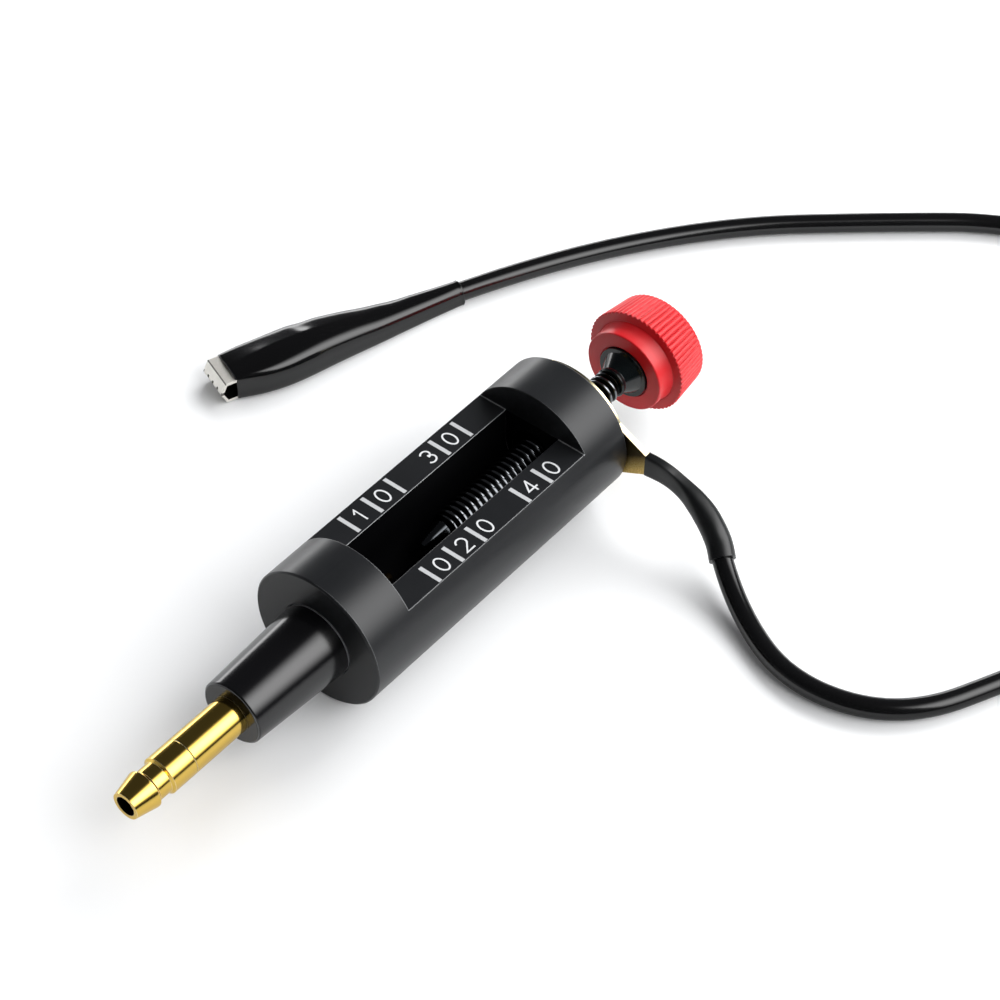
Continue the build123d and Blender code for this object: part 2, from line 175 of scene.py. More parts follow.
def feed(node, sockets):
    """Sets sockets by name to a number, a colour, an output, or a node for its first output in use."""
    for name, value in sockets.items():
        if isinstance(value, bpy.types.Node):
            value = next(output for output in value.outputs if output.enabled)
        if isinstance(value, bpy.types.NodeSocket):
            node.id_data.links.new(value, node.inputs[name])
        else:
            node.inputs[name].default_value = value


def add(tree, kind, sockets=None, **settings):
    """Adds a node with its settings, and feeds its sockets."""
    node = tree.nodes.new("ShaderNode" + kind)
    for name, value in settings.items():
        setattr(node, name, value)
    feed(node, sockets or {})
    return node


def finish(name, colour, roughness, **sockets):
    """A material with its own shader, and the place on the object in metres for its patterns."""
    material = bpy.data.materials.new(name)
    material.use_nodes = True
    tree = material.node_tree
    shader = tree.nodes["Principled BSDF"]
    feed(shader, {"Base Color": paint(colour), "Roughness": roughness, **sockets})
    place = add(tree, "TexCoord").outputs["Object"]
    print("finish", name)
    return material, tree, shader, place


# %% [markdown]
# ## Steps that the finishes share
#
# A finish is mostly the same few steps: a pattern in two colours, a fine relief over edges that are rounded
# for the light alone, and masks, which are one inside a place and zero outside. Masks that are multiplied
# give the place where all of them hold. An edge is found where the rounded normal leaves the mesh's own.

# %% Shared steps


def two_tone(tree, pattern, dark, light):
    """A pattern drawn in two colours."""
    ramp = add(tree, "ValToRGB", {"Fac": pattern})
    for element, code in zip(ramp.color_ramp.elements, (dark, light)):
        element.color = paint(code)
    return ramp


def surface(tree, shader, pattern, strength, depth, edge=None):
    """Gives the shader the relief of a pattern, on top of another relief or of rounded edges."""
    sockets = {"Height": pattern, "Strength": strength, "Distance": depth}
    if edge is not None:
        sockets["Normal"] = edge
    feed(shader, {"Normal": add(tree, "Bump", sockets)})


def where_all(tree, *masks):
    """The place where every mask holds."""
    held = masks[0]
    for mask in masks[1:]:
        held = add(tree, "Math", {0: held, 1: mask}, operation="MULTIPLY")
    return held


def on_edges(tree, edge, first, full):
    """One on the edges, from how well the rounded normal keeps to the mesh's own."""
    mesh_normal = add(tree, "NewGeometry").outputs["Normal"]
    kept = add(tree, "VectorMath", {0: edge, 1: mesh_normal}, operation="DOT_PRODUCT")
    return add(tree, "MapRange", {"Value": kept, "From Min": first, "From Max": full})


def painted_over(tree, colour, *layers):
    """A colour with others laid over it, each given as a mask and a hex colour."""
    for mask, code in layers:
        colour = add(tree, "Mix", {"Factor": mask, "A": colour, "B": paint(code)}, data_type="RGBA")
    return colour


def from_axis(tree, place):
    """Distance from the tool's axis, which is the X axis."""
    off_axis = add(tree, "VectorMath", {0: place, 1: (0.0, 1.0, 1.0)}, operation="MULTIPLY")
    return add(tree, "VectorMath", {0: off_axis}, operation="LENGTH")


# %% [markdown]
# ## Moulded black plastic
#
# The body is moulded black nylon: hard, dense and satin, because the mould's skin is very finely matt. The
# eye reads that from a broad, soft highlight and from fine pale lights on the edges, where even a sharp
# moulding is a fifth of a millimetre round. A bevel in the shader rounds those edges for the light alone.
# The grain is finer than the picture shows, so it is drawn at a third of a millimetre. The slot in the
# middle is milled afterwards, and the cut plastic is duller than the skin, so it gets its own finish by its
# place. Inside the slot the colour is painted near black, as painted shade.

# %% Satin black nylon
window_front, window_rear = 28.3 * mm, 71.3 * mm
scale_flat_z = 6.3 * mm
slot_half_width = 5.45 * mm
past_edge = 0.1 * mm  # how far the milled finish reaches past its edges, so that no sliver is left
body_plastic, tree, shader, place = finish("satin_black_nylon", "#1b1c1e", 0.3, IOR=1.43)
grain = add(tree, "TexNoise", {"Vector": place, "Scale": 1 / (0.33 * mm), "Detail": 3.0})
cloud = add(tree, "TexNoise", {"Vector": place, "Scale": 1 / (9 * mm), "Detail": 2.0})
edge = add(tree, "Bevel", {"Radius": 0.22 * mm}, samples=8)
surface(tree, shader, grain, 0.1, 0.02 * mm, edge)
x, y, z = add(tree, "SeparateXYZ", {0: place}).outputs
window_middle, window_half = (window_front + window_rear) / 2, (window_rear - window_front) / 2
along_slot = add(tree, "Math", {0: x, 1: window_middle, 2: window_half + past_edge}, operation="COMPARE")
across_slot = add(tree, "Math", {0: y, 1: 0.0, 2: slot_half_width}, operation="COMPARE")
under_flat = add(tree, "Math", {0: z, 1: scale_flat_z - past_edge}, operation="LESS_THAN")
milled_and_shaded = where_all(tree, along_slot, across_slot, under_flat)
tone = two_tone(tree, cloud, "#191a1c", "#202123")
# Painted shade: the milled slot is painted near black.
body_colour = painted_over(tree, tone, (milled_and_shaded, "#020203"))

# %% [markdown]
# ## Painted edge highlights and gloss of the plastic
#
# The sharp edges that face the softbox are painted pale, as a painted highlight. So is a fine line at the
# rear end of the flat, on both sides of the slot. The cut plastic hardly shines, and the skin is a little
# uneven in its gloss.

# %% Pale edges and gloss
# Painted highlight: edges whose rounded normal faces the softbox, and a line where the flat meets the rear
# wall.
toward_softbox = add(tree, "VectorMath", {0: edge, 1: (0.0, -0.7, 0.7)}, operation="DOT_PRODUCT")
toward_softbox = add(tree, "MapRange", {"Value": toward_softbox, "From Min": 0.6, "From Max": 0.95})
painted_edge_highlight = where_all(tree, on_edges(tree, edge, 0.99, 0.9), toward_softbox)
cut_end = add(tree, "Math", {0: x, 1: window_rear - past_edge, 2: 0.12 * mm}, operation="COMPARE")
cut_level = add(tree, "Math", {0: z, 1: scale_flat_z, 2: 0.06 * mm}, operation="COMPARE")
beside_slot = add(tree, "Math", {0: 1.0, 1: across_slot}, operation="SUBTRACT")
painted_corner_line = where_all(tree, cut_end, cut_level, beside_slot)
painted_edge_highlight = add(tree, "Math", {0: painted_corner_line, 1: 0.5, 2: painted_edge_highlight}, operation="MULTIPLY_ADD")
body_colour = painted_over(tree, body_colour, (painted_edge_highlight, "#a4a6a8"))
gloss = add(tree, "MapRange", {"Value": milled_and_shaded, "To Min": 0.5, "To Max": 0.06})
rub = add(tree, "MapRange", {"Value": cloud, "To Min": 0.28, "To Max": 0.34})
dull = add(tree, "Math", {0: milled_and_shaded, 1: 0.4, 2: rub}, operation="MULTIPLY_ADD")
feed(shader, {"Base Color": body_colour, "Specular IOR Level": gloss, "Roughness": dull})

# %% [markdown]
# ## Glossy phenolic
#
# The plug insulator is a hard glossy plastic, like the cap of a distributor. It is nearly black and mirrors
# the studio in clean stripes, a little softened by a skin that is never quite even. A thin pale rim is
# painted where it sits in the body and round its front face, as a painted highlight; its place on the
# axis says where.

# %% Glossy black phenolic
seat_x = 19.0 * mm
front_x = 0.05 * mm
front_rim_radius = 5.4 * mm
insulator_plastic, tree, shader, place = finish("glossy_black_phenolic", "#0b0b0d", 0.17, IOR=1.58)
ripple = add(tree, "TexNoise", {"Vector": place, "Scale": 1 / (2.5 * mm), "Detail": 2.0})
edge = add(tree, "Bevel", {"Radius": 0.3 * mm}, samples=8)
surface(tree, shader, ripple, 0.1, 0.03 * mm, edge)
x, y, z = add(tree, "SeparateXYZ", {0: place}).outputs
# Painted highlight: a pale rim at the root and round the front face.
root = add(tree, "Math", {0: x, 1: seat_x, 2: 0.13 * mm}, operation="COMPARE")
front = add(tree, "Math", {0: x, 1: front_x, 2: 0.09 * mm}, operation="COMPARE")
outer = add(tree, "Math", {0: from_axis(tree, place), 1: front_rim_radius}, operation="GREATER_THAN")
front_rim = where_all(tree, front, outer)
painted_rim_highlight = add(tree, "Math", {0: front_rim, 1: 0.55, 2: root}, operation="MULTIPLY_ADD")
feed(shader, {"Base Color": painted_over(tree, paint("#0b0b0d"), (painted_rim_highlight, "#6c6e70"))})

# %% [markdown]
# ## Turned brass
#
# Terminal, nut and bush are free-cutting brass off a lathe, polished until the tool's lines all but vanish.
# Those lines run round the axis, so rings along X are their pattern. They are a twentieth of a millimetre
# apart on the real piece and are drawn at a fifth, so that they show. Barrel and nut meet in a fine parting
# line, whose two edges are just broken; it is drawn by its place on the axis.

# %% Bright turned brass
parting_line_x = -10.7 * mm
parting_half_width = 0.13 * mm
wave_period = 0.314  # the wave texture's scale for one ring a metre
brass, tree, shader, place = finish("bright_turned_brass", "#e9c461", 0.1, Metallic=1.0)
x, y, z = add(tree, "SeparateXYZ", {0: place}).outputs
rings = add(
    tree,
    "TexWave",
    {"Vector": place, "Scale": wave_period / (0.2 * mm), "Distortion": 0.6, "Detail": 2.0},
    bands_direction="X",
)
edge = add(tree, "Bevel", {"Radius": 0.12 * mm}, samples=8)
turned = add(
    tree,
    "Bump",
    {"Height": rings.outputs["Fac"], "Strength": 0.05, "Distance": 0.01 * mm, "Normal": edge},
)
from_line = add(tree, "Math", {0: x, 1: parting_line_x}, operation="SUBTRACT")
from_line = add(tree, "Math", {0: from_line}, operation="ABSOLUTE")
shoulder = add(
    tree,
    "MapRange",
    {"Value": from_line, "From Min": 0.0, "From Max": parting_half_width},
    interpolation_type="SMOOTHSTEP",
)
surface(tree, shader, shoulder, 1.0, 0.06 * mm, turned)

# %% [markdown]
# ## Colour and gloss of the brass
#
# The threaded hole in the nose is dull, and painted dark as painted shade. The terminal's edges are
# rougher, with a pale rim painted on as a painted highlight. What stands in the spark chamber is painted
# near black, as painted shade. Everywhere else the polish is a little uneven, from hands and from tarnish.

# %% Colour and gloss of the brass
nose_hole_radius = 1.78 * mm
nose_hole_end_x = -15.0 * mm
shaded_middle_x, shaded_half = 66 * mm, 10 * mm
on_terminal = add(tree, "Math", {0: x, 1: 0.0}, operation="LESS_THAN")
# Painted highlight: a pale rim on the terminal's edges.
painted_brass_edge_highlight = where_all(tree, on_edges(tree, edge, 0.995, 0.93), on_terminal)
# Painted shade: the hole in the nose is painted dark.
inside = add(tree, "Math", {0: from_axis(tree, place), 1: nose_hole_radius}, operation="LESS_THAN")
in_front = add(tree, "Math", {0: x, 1: nose_hole_end_x}, operation="LESS_THAN")
in_hole = where_all(tree, inside, in_front)
# Painted shade: brass inside the spark chamber is painted near black.
in_chamber = add(tree, "Math", {0: x, 1: shaded_middle_x, 2: shaded_half}, operation="COMPARE")
layers = (in_hole, "#2a1c0a"), (painted_brass_edge_highlight, "#fbefc8"), (in_chamber, "#0d0a06")
brass_colour = painted_over(tree, paint("#e9c461"), *layers)
smear = add(tree, "TexNoise", {"Vector": place, "Scale": 1 / (3 * mm), "Detail": 3.0})
sheen = add(tree, "MapRange", {"Value": smear, "To Min": 0.09, "To Max": 0.17})
tarnish = add(tree, "Math", {0: in_hole, 1: 0.4, 2: sheen}, operation="MULTIPLY_ADD")
rougher_at_edges = add(tree, "Math", {0: painted_brass_edge_highlight, 1: 0.4, 2: tarnish}, operation="MULTIPLY_ADD")
feed(shader, {"Base Color": brass_colour, "Roughness": rougher_at_edges})

# %% [markdown]
# ## Brass painted dark in the chamber
#
# The rod's end takes every spark. It stands in the shade of the chamber, and the same brass is painted
# dark as that shade, so it stays a metal, but dark and dull.

# %% Brass painted dark
# Painted shade: the rod's brass is painted dark as the chamber's shade.
shade_dark_brass, tree, shader, place = finish("shade_darkened_brass", "#1c150a", 0.6, Metallic=1.0)
dark_speckle = add(tree, "TexNoise", {"Vector": place, "Scale": 1 / (0.5 * mm), "Detail": 3.0})
shaded_brass_tone = two_tone(tree, dark_speckle, "#0d0a06", "#2c2110")
feed(shader, {"Base Color": shaded_brass_tone})

# %% [markdown]
# ## Sheared brass sheet
#
# The ground plate is punched from brass sheet. Its faces keep the coarse grain of the rolled stock and look
# duller than the turned pieces. They are painted darker towards the body and the top, as painted shade.
# The sheared rim is painted pale cream, as a painted highlight: it is told from the faces by its normal,
# which has no part along the axis.

# %% Rolled brass sheet
sheet_brass, tree, shader, place = finish("rolled_brass_sheet", "#dcb65c", 0.3, Metallic=1.0)
speckle = add(tree, "TexNoise", {"Vector": place, "Scale": 1 / (0.22 * mm), "Detail": 4.0})
rolled = two_tone(tree, speckle, "#c39c48", "#f2d68a")
rolled.color_ramp.elements[0].position = 0.3
rolled.color_ramp.elements[1].position = 0.7
normal_x = add(tree, "SeparateXYZ", {0: add(tree, "NewGeometry").outputs["Normal"]}).outputs["X"]
rim = add(tree, "Math", {0: normal_x}, operation="ABSOLUTE")
rim = add(tree, "Math", {0: rim, 1: 0.5}, operation="LESS_THAN")
face_only = add(tree, "Math", {0: 1.0, 1: rim}, operation="SUBTRACT")
grain_depth = add(tree, "MapRange", {"Value": face_only, "To Min": 0.05, "To Max": 0.5})
surface(tree, shader, speckle, grain_depth, 0.05 * mm)
x, y, z = add(tree, "SeparateXYZ", {0: place}).outputs
# Painted shade: the faces darken towards the body and the top.
down_and_out = add(tree, "Math", {0: y, 1: 0.6, 2: z}, operation="MULTIPLY_ADD")
painted_shade_near_body = add(
    tree,
    "MapRange",
    {"Value": down_and_out, "From Min": -10.9 * mm, "From Max": -7.4 * mm, "To Max": 0.93},
)
painted_shade_near_body = where_all(tree, painted_shade_near_body, face_only)
# Painted highlight: the sheared rim is painted pale cream.
plate_colour = painted_over(tree, rolled, (painted_shade_near_body, "#1b160a"), (rim, "#f8ebbf"))
dull = add(tree, "MapRange", {"Value": speckle, "To Min": 0.28, "To Max": 0.46})
polished = add(tree, "Math", {0: rim, 1: -0.16, 2: dull}, operation="MULTIPLY_ADD")
feed(shader, {"Base Color": plate_colour, "Roughness": polished})

# %% [markdown]
# ## Blackened steel
#
# The screw, and the nut and washer inside, are steel with a black oxide, oiled: a dark mirror. It is still
# a metal, so all that the eye sees of it is reflection. The crests of the thread are painted light, as a
# painted highlight, and the grooves are painted near black and rougher, as painted shade; the distance from
# the axis tells them apart.

# %% Blackened steel
core_radius = 1.9 * mm
crest_start, crest_radius = 2.48 * mm, 2.6 * mm
black_steel, tree, shader, place = finish("oiled_black_oxide_steel", "#4a4d50", 0.15, Metallic=1.0)
mottle = add(tree, "TexNoise", {"Vector": place, "Scale": 1 / (1.2 * mm), "Detail": 4.0})
oxide = two_tone(tree, mottle, "#414447", "#5a5d60")
off_axis = from_axis(tree, place)
# Painted highlight on the crests and painted shade in the grooves.
crest = add(tree, "MapRange", {"Value": off_axis, "From Min": crest_start, "From Max": crest_radius})
threaded = add(tree, "Math", {0: off_axis, 1: core_radius}, operation="GREATER_THAN")
groove = add(tree, "Math", {0: threaded, 1: crest}, operation="SUBTRACT", use_clamp=True)
painted_thread_light_and_shade = painted_over(tree, oxide, (groove, "#161718"), (crest, "#85888c"))
rougher_in_grooves = add(tree, "MapRange", {"Value": groove, "To Min": 0.15, "To Max": 0.3})
feed(shader, {"Base Color": painted_thread_light_and_shade, "Roughness": rougher_in_grooves})

# %% [markdown]
# ## Lacquer and ABS
#
# The round bush behind the body is lacquered, a gloss black with a cold cast. The knob is moulded ABS,
# coloured right through. Its skin is satin, so that the fingers grip it, and broad highlights turn it pink.
# The flutes are in the mesh; only the flow of the lacquer and the faint orange peel of the moulding are
# bump.

# %% Black lacquer and red ABS
bush_black, tree, shader, place = finish("glossy_black_lacquer", "#0a1113", 0.15, IOR=1.55)
flow = add(tree, "TexNoise", {"Vector": place, "Scale": 1 / (1.5 * mm), "Detail": 2.0})
edge = add(tree, "Bevel", {"Radius": 0.12 * mm}, samples=8)
surface(tree, shader, flow, 0.08, 0.02 * mm, edge)

red_abs, tree, shader, place = finish("satin_red_abs", "#d0111b", 0.34, IOR=1.5)
peel = add(tree, "TexNoise", {"Vector": place, "Scale": 1 / (0.5 * mm), "Detail": 2.0})
edge = add(tree, "Bevel", {"Radius": 0.15 * mm}, samples=8)
surface(tree, shader, peel, 0.08, 0.02 * mm, edge)

# %% [markdown]
# ## Rubbery blacks
#
# Three soft blacks meet on the lead. Shrunk polyolefin is satin and slightly wrinkled, a PVC jacket is
# smooth and glossy, and the boot is dipped vinyl, which is glossier still and takes soft dents where
# fingers press it.

# %% Heat-shrink, jacket and dipped vinyl
shrink_black, tree, shader, place = finish("shrunk_polyolefin", "#121314", 0.33, IOR=1.5)
wrinkle = add(tree, "TexNoise", {"Vector": place, "Scale": 1 / (0.8 * mm), "Detail": 3.0})
surface(tree, shader, wrinkle, 0.1, 0.05 * mm)

jacket_black, tree, shader, place = finish("glossy_pvc_jacket", "#0d0d0e", 0.17, IOR=1.53)
lay = add(tree, "TexNoise", {"Vector": place, "Scale": 1 / (4 * mm), "Detail": 2.0})
surface(tree, shader, lay, 0.12, 0.08 * mm)

vinyl_black, tree, shader, place = finish("dipped_vinyl", "#0a0a0b", 0.13, IOR=1.54)
dip = add(tree, "TexNoise", {"Vector": place, "Scale": 1 / (6 * mm), "Detail": 1.0})
surface(tree, shader, dip, 0.2, 0.1 * mm)

# %% [markdown]
# ## Clip steel
#
# The jaws are folded from nickel-plated steel strip, warm and light, with a faint haze in the plating. Their
# insides are painted black, as painted shade: they are the faces that look at the middle of the mouth. The
# clip lies askew on the table, so its own directions are named first and all its places are told along them.

# %% Where the clip lies
clip_mouth = Vector((60.145, 57.5268, -12.5)) * mm
clip_along = Vector((0.93392, -0.357481, 0.0))
clip_across = Vector((0.357481, 0.93392, 0.0))
clip_up = Vector((0.0, 0.0, 1.0))
mouth_middle = clip_mouth + (clip_along + clip_up * 2.6) * mm

# %% Plated steel
clip_steel, tree, shader, place = finish("matt_nickel_plated_strip", "#f4f1ea", 0.38, Metallic=0.65)
haze = add(tree, "TexNoise", {"Vector": place, "Scale": 1 / (0.6 * mm), "Detail": 3.0})
edge = add(tree, "Bevel", {"Radius": 0.1 * mm}, samples=8)
surface(tree, shader, haze, 0.03, 0.02 * mm, edge)
# Painted shade: faces that look at the middle of the mouth are painted black.
to_middle = add(tree, "VectorMath", {0: mouth_middle, 1: place}, operation="SUBTRACT")
to_middle = add(tree, "VectorMath", {0: to_middle}, operation="NORMALIZE")
mesh_normal = add(tree, "NewGeometry").outputs["Normal"]
facing = add(tree, "VectorMath", {0: to_middle, 1: mesh_normal}, operation="DOT_PRODUCT")
painted_inner_shade = add(tree, "MapRange", {"Value": facing, "From Min": 0.05, "From Max": 0.2})

# %% [markdown]
# ## Marks on the jaws
#
# A dark line is drawn across the upper jaw where it bends down to its lip, and a dark dot at every step of
# the teeth in front of it. Both are masks by place.

# %% Marks on the jaws
lip_bend = -2.1 * mm
bend_level = 4.5 * mm
tooth_pitch = 1.75 * mm
tooth_level = 2.65 * mm
from_mouth = add(tree, "VectorMath", {0: place, 1: clip_mouth}, operation="SUBTRACT")
along_clip = add(tree, "VectorMath", {0: from_mouth, 1: clip_along}, operation="DOT_PRODUCT")
across_clip = add(tree, "VectorMath", {0: from_mouth, 1: clip_across}, operation="DOT_PRODUCT")
above_table = add(tree, "VectorMath", {0: from_mouth, 1: clip_up}, operation="DOT_PRODUCT")
at_bend = add(tree, "Math", {0: along_clip, 1: lip_bend, 2: 0.09 * mm}, operation="COMPARE")
on_top = add(tree, "Math", {0: above_table, 1: bend_level}, operation="GREATER_THAN")
from_notch = add(tree, "Math", {0: across_clip, 1: tooth_pitch / 2}, operation="PINGPONG")
in_notch = add(tree, "Math", {0: from_notch, 1: 0.24 * mm}, operation="LESS_THAN")
at_teeth = add(tree, "Math", {0: above_table, 1: tooth_level, 2: 0.3 * mm}, operation="COMPARE")
at_front = add(tree, "Math", {0: along_clip, 1: lip_bend}, operation="LESS_THAN")
marks = add(
    tree,
    "Math",
    {0: where_all(tree, at_bend, on_top), 1: where_all(tree, in_notch, at_teeth, at_front)},
    operation="MAXIMUM",
)
black = add(tree, "Math", {0: marks, 1: 0.8, 2: painted_inner_shade}, operation="MULTIPLY_ADD")
strip = two_tone(tree, haze, "#ece9e1", "#f8f5ee")
jaw_colour = painted_over(tree, strip, (black, "#050505"))
patch = add(tree, "MapRange", {"Value": haze, "To Min": 0.34, "To Max": 0.44})
feed(shader, {"Base Color": jaw_colour, "Roughness": patch})

# %% [markdown]
# ## Strands and print
#
# The bared strands in the crimp are copper, twisted together, so a wave runs round them at the width of a
# strand. The scale is pad-printed: its lines in a light grey, its figures in a whiter ink.

# %% Copper strands and inks
strand_width = 0.25 * mm
copper, tree, shader, place = finish("bare_copper_strand", "#c9764a", 0.3, Metallic=1.0)
twist = add(
    tree, "TexWave", {"Vector": place, "Scale": wave_period / strand_width}, bands_direction="DIAGONAL"
)
surface(tree, shader, twist.outputs["Fac"], 0.6, 0.1 * mm)

inks = {}
for name, dark, light in (("grey_pad_ink", "#b2b3b5", "#bfc1c3"), ("white_pad_ink", "#ced0d2", "#d9dbdd")):
    inks[name], tree, shader, place = finish(name, light, 0.5, IOR=1.5)
    cover = add(tree, "TexNoise", {"Vector": place, "Scale": 1 / (0.4 * mm), "Detail": 2.0})
    coat = two_tone(tree, cover, dark, light)
    feed(shader, {"Base Color": coat})

# %% [markdown]
# ## The rigid pieces
#
# Pieces that the engineering model draws well enough keep their shape, and only get their material: the
# casing, the turned and punched pieces, the jaws with their pin, and the strands.

# %% Give the rigid pieces their finishes
for material, names in (
    (body_plastic, ["casing"]),
    (insulator_plastic, ["plug_insulator"]),
    (brass, ["terminal_barrel", "terminal_nut", "threaded_bush"]),
    (shade_dark_brass, ["electrode_rod"]),
    (black_steel, ["electrode_washer", "electrode_nut"]),
    (sheet_brass, ["ground_plate"]),
    (bush_black, ["knob_bush"]),
    (clip_steel, ["clip_lower_jaw", "clip_upper_jaw", "clip_pivot_pin"]),
    (copper, ["clip_strands"]),
):
    for name in names:
        nodes[name].data.materials.clear()
        nodes[name].data.materials.append(material)
    print(material.name, "on", *names)

# %% [markdown]
# ## A skin over rings
#
# Screw, knob, sleeve, boot and spring are all stretched over a row of closed rings, like a net over hoops.
# One function joins the rings with four-sided faces, closes the two ends and smooths the shading. Turned
# pieces need rings about the tool's axis, so a second one makes those, with a radius that may change on the
# way round.

# %% Skin helper


def skin_over(name, rings, material, body, replaced):
    """One closed mesh over a list of rings, each a list of points that go round the same way."""
    mesh = bpy.data.meshes.new(name)
    count = len(rings[0])
    faces = []
    for i in range(len(rings) - 1):
        for j in range(count):
            k = (j + 1) % count
            faces.append((i * count + j, i * count + k, (i + 1) * count + k, (i + 1) * count + j))
    faces.append(tuple(reversed(range(count))))
    last = (len(rings) - 1) * count
    faces.append(tuple(range(last, last + count)))
    mesh.from_pydata([tuple(p) for ring in rings for p in ring], [], faces)
    fix = bmesh.new()
    fix.from_mesh(mesh)
    bmesh.ops.recalc_face_normals(fix, faces=fix.faces)
    fix.to_mesh(mesh)
    fix.free()
    mesh.shade_smooth()
    mesh.materials.append(material)
    piece = new_object(name, mesh)
    if body:
        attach(piece, body)
    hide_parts(*replaced)
    return piece


def ring_about_axis(x, count, radius_at):
    """Points round the axis. The radius is asked for at each share of a turn."""
    ring = []
    for step in range(count):
        turn = step / count
        radius = radius_at(turn)
        ring.append((x, -radius * sin(2 * pi * turn), radius * cos(2 * pi * turn)))
    return ring


# %% [markdown]
# ## The adjusting screw
#
# The moving electrode is a black screw with a blunt cone point. A spiral of triangles wound from one
# profile would do, but it leaves loose ends. Instead the whole screw is one skin of rings along the axis,
# and the radius at each point depends on how far it has got along the pitch and round the screw. At both
# ends the thread fades under a cone.

# %% Adjusting screw
pitch = 1.27 * mm
thread_radius = 2.65 * mm
thread_depth = 0.62 * mm
flank_share = 0.78  # of half a pitch, the rest is the crest
fade_slope = 1.2  # of the cones under which the thread fades at its ends
cone_length, cone_radius = 5.0 * mm, 1.8 * mm
point_radius, point_bevel = 0.85 * mm, 0.12 * mm
shank_radius = 1.8 * mm
screw_low, screw_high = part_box("adjusting_screw")
thread_start, thread_end = screw_low.x + cone_length, 91.9 * mm
steps_per_turn, steps_per_pitch = 60, 14


def thread_radius_at(x, turn):
    """Sharp root, straight flank, narrow crest and flank again, under a cone at both ends."""
    phase = (x - thread_start) / pitch - turn
    from_crest = abs(phase % 1.0 - 0.5) * 2
    height = min((1.0 - from_crest) / flank_share, 1.0)
    radius = thread_radius - thread_depth * (1 - height)
    lead_in = cone_radius + (x - thread_start) * fade_slope
    lead_out = shank_radius + (thread_end - x) * fade_slope
    return min(radius, max(lead_in, 0), max(lead_out, 0))


def plain_ring(x, radius):
    return ring_about_axis(x, steps_per_turn, lambda turn: radius)


screw_rings = [
    plain_ring(screw_low.x, point_radius - point_bevel),
    plain_ring(screw_low.x + 0.1 * mm, point_radius),
    plain_ring(thread_start - 0.05 * mm, cone_radius),
]
thread_steps = round((thread_end - thread_start) / pitch * steps_per_pitch)
for step in range(thread_steps + 1):
    x = thread_start + (thread_end - thread_start) * step / thread_steps
    screw_rings.append(ring_about_axis(x, steps_per_turn, lambda turn: thread_radius_at(x, turn)))
screw_rings.append(plain_ring(screw_high.x, shank_radius))
screw = skin_over("threaded_screw", screw_rings, black_steel, "adjuster", ["adjusting_screw"])
screw.data.set_sharp_from_angle(angle=radians(50))
print("screw rings", len(screw_rings), "turns of thread", round((thread_end - thread_start) / pitch, 1))

# %% [markdown]
# ## The knob
#
# The knob is one moulding: a collar with a pocket for the bush, which flares a little before it meets the
# grip, and sixty round flutes that taper to the rear. Copying one flute round in a circle would do as well,
# but each ring of the skin can also carry them itself: its radius follows the bow of a sine, broad on top
# and sharp in the valley. How much of the flute each ring gets fades the flutes out at both ends of the
# grip. A retoucher takes the red glow off the white paper under such a knob; here its bounced light is
# switched off.

# %% Knob
flute_count, points_per_flute = 60, 10
flute_depth = 0.36 * mm
flute_bow = 0.45  # power of the sine: the lower, the broader the flute and the sharper the valley
knob_low, knob_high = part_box("knob")
knob_front, knob_rear = knob_low.x, knob_high.x
pocket_radius, pocket_depth = 4.85 * mm, 0.8 * mm
collar_radius = 7.55 * mm
cove_start, cove_length, cove_flare = knob_front + 1.5 * mm, 1.8 * mm, 0.2 * mm
cove_steps = 8
grip_start = cove_start + cove_length
grip_front_radius, grip_rear_radius = 9.65 * mm, 8.9 * mm
dish_radius, dish_depth = 6.0 * mm, 0.6 * mm
bevel, wide_bevel = 0.12 * mm, 0.15 * mm
rear_round, rear_fall = 0.7 * mm, 0.6 * mm
hub_radius = 0.4 * mm  # the small flat that closes each end of the skin
flute_end = knob_rear - rear_round

# %% Knob's rings


def knob_ring(x, radius, flute_share=0.0):
    """One ring of the knob, with its flutes cut to a share of their depth."""

    def radius_at(turn):
        bow = abs(sin(pi * flute_count * turn))
        return radius - flute_depth * flute_share * (1 - bow**flute_bow)

    return ring_about_axis(x, flute_count * points_per_flute, radius_at)


knob_rings = [
    knob_ring(knob_front + pocket_depth, hub_radius),
    knob_ring(knob_front + pocket_depth, pocket_radius),
    knob_ring(knob_front + bevel, pocket_radius),
    knob_ring(knob_front, pocket_radius + bevel),
    knob_ring(knob_front, collar_radius - wide_bevel),
    knob_ring(knob_front + wide_bevel, collar_radius),
]
for step in range(cove_steps + 1):
    share = step / cove_steps
    knob_rings.append(knob_ring(cove_start + cove_length * share, collar_radius + cove_flare * share * share))
knob_rings += [
    knob_ring(grip_start + bevel, collar_radius + cove_flare + 0.06 * mm),
    knob_ring(grip_start, collar_radius + cove_flare + 0.2 * mm),
    knob_ring(grip_start, grip_front_radius - bevel, 0.9),
    knob_ring(grip_start + bevel, grip_front_radius, 1.0),
    knob_ring(flute_end, grip_rear_radius, 1.0),
]
for step in range(1, 5):
    angle = pi / 2 * step / 4
    fall = rear_fall * (1 - cos(angle))
    knob_rings.append(knob_ring(flute_end + rear_round * sin(angle), grip_rear_radius - fall, cos(angle)))
knob_rings += [
    knob_ring(knob_rear, dish_radius + 0.15 * mm),
    knob_ring(knob_rear - dish_depth, dish_radius - 0.2 * mm),
    knob_ring(knob_rear - dish_depth, hub_radius),
]
knob = skin_over("fluted_knob", knob_rings, red_abs, "adjuster", ["knob"])
knob.data.set_sharp_from_angle(angle=radians(40))
knob.visible_diffuse = False
print("knob rings", len(knob_rings), "points a ring", len(knob_rings[0]))

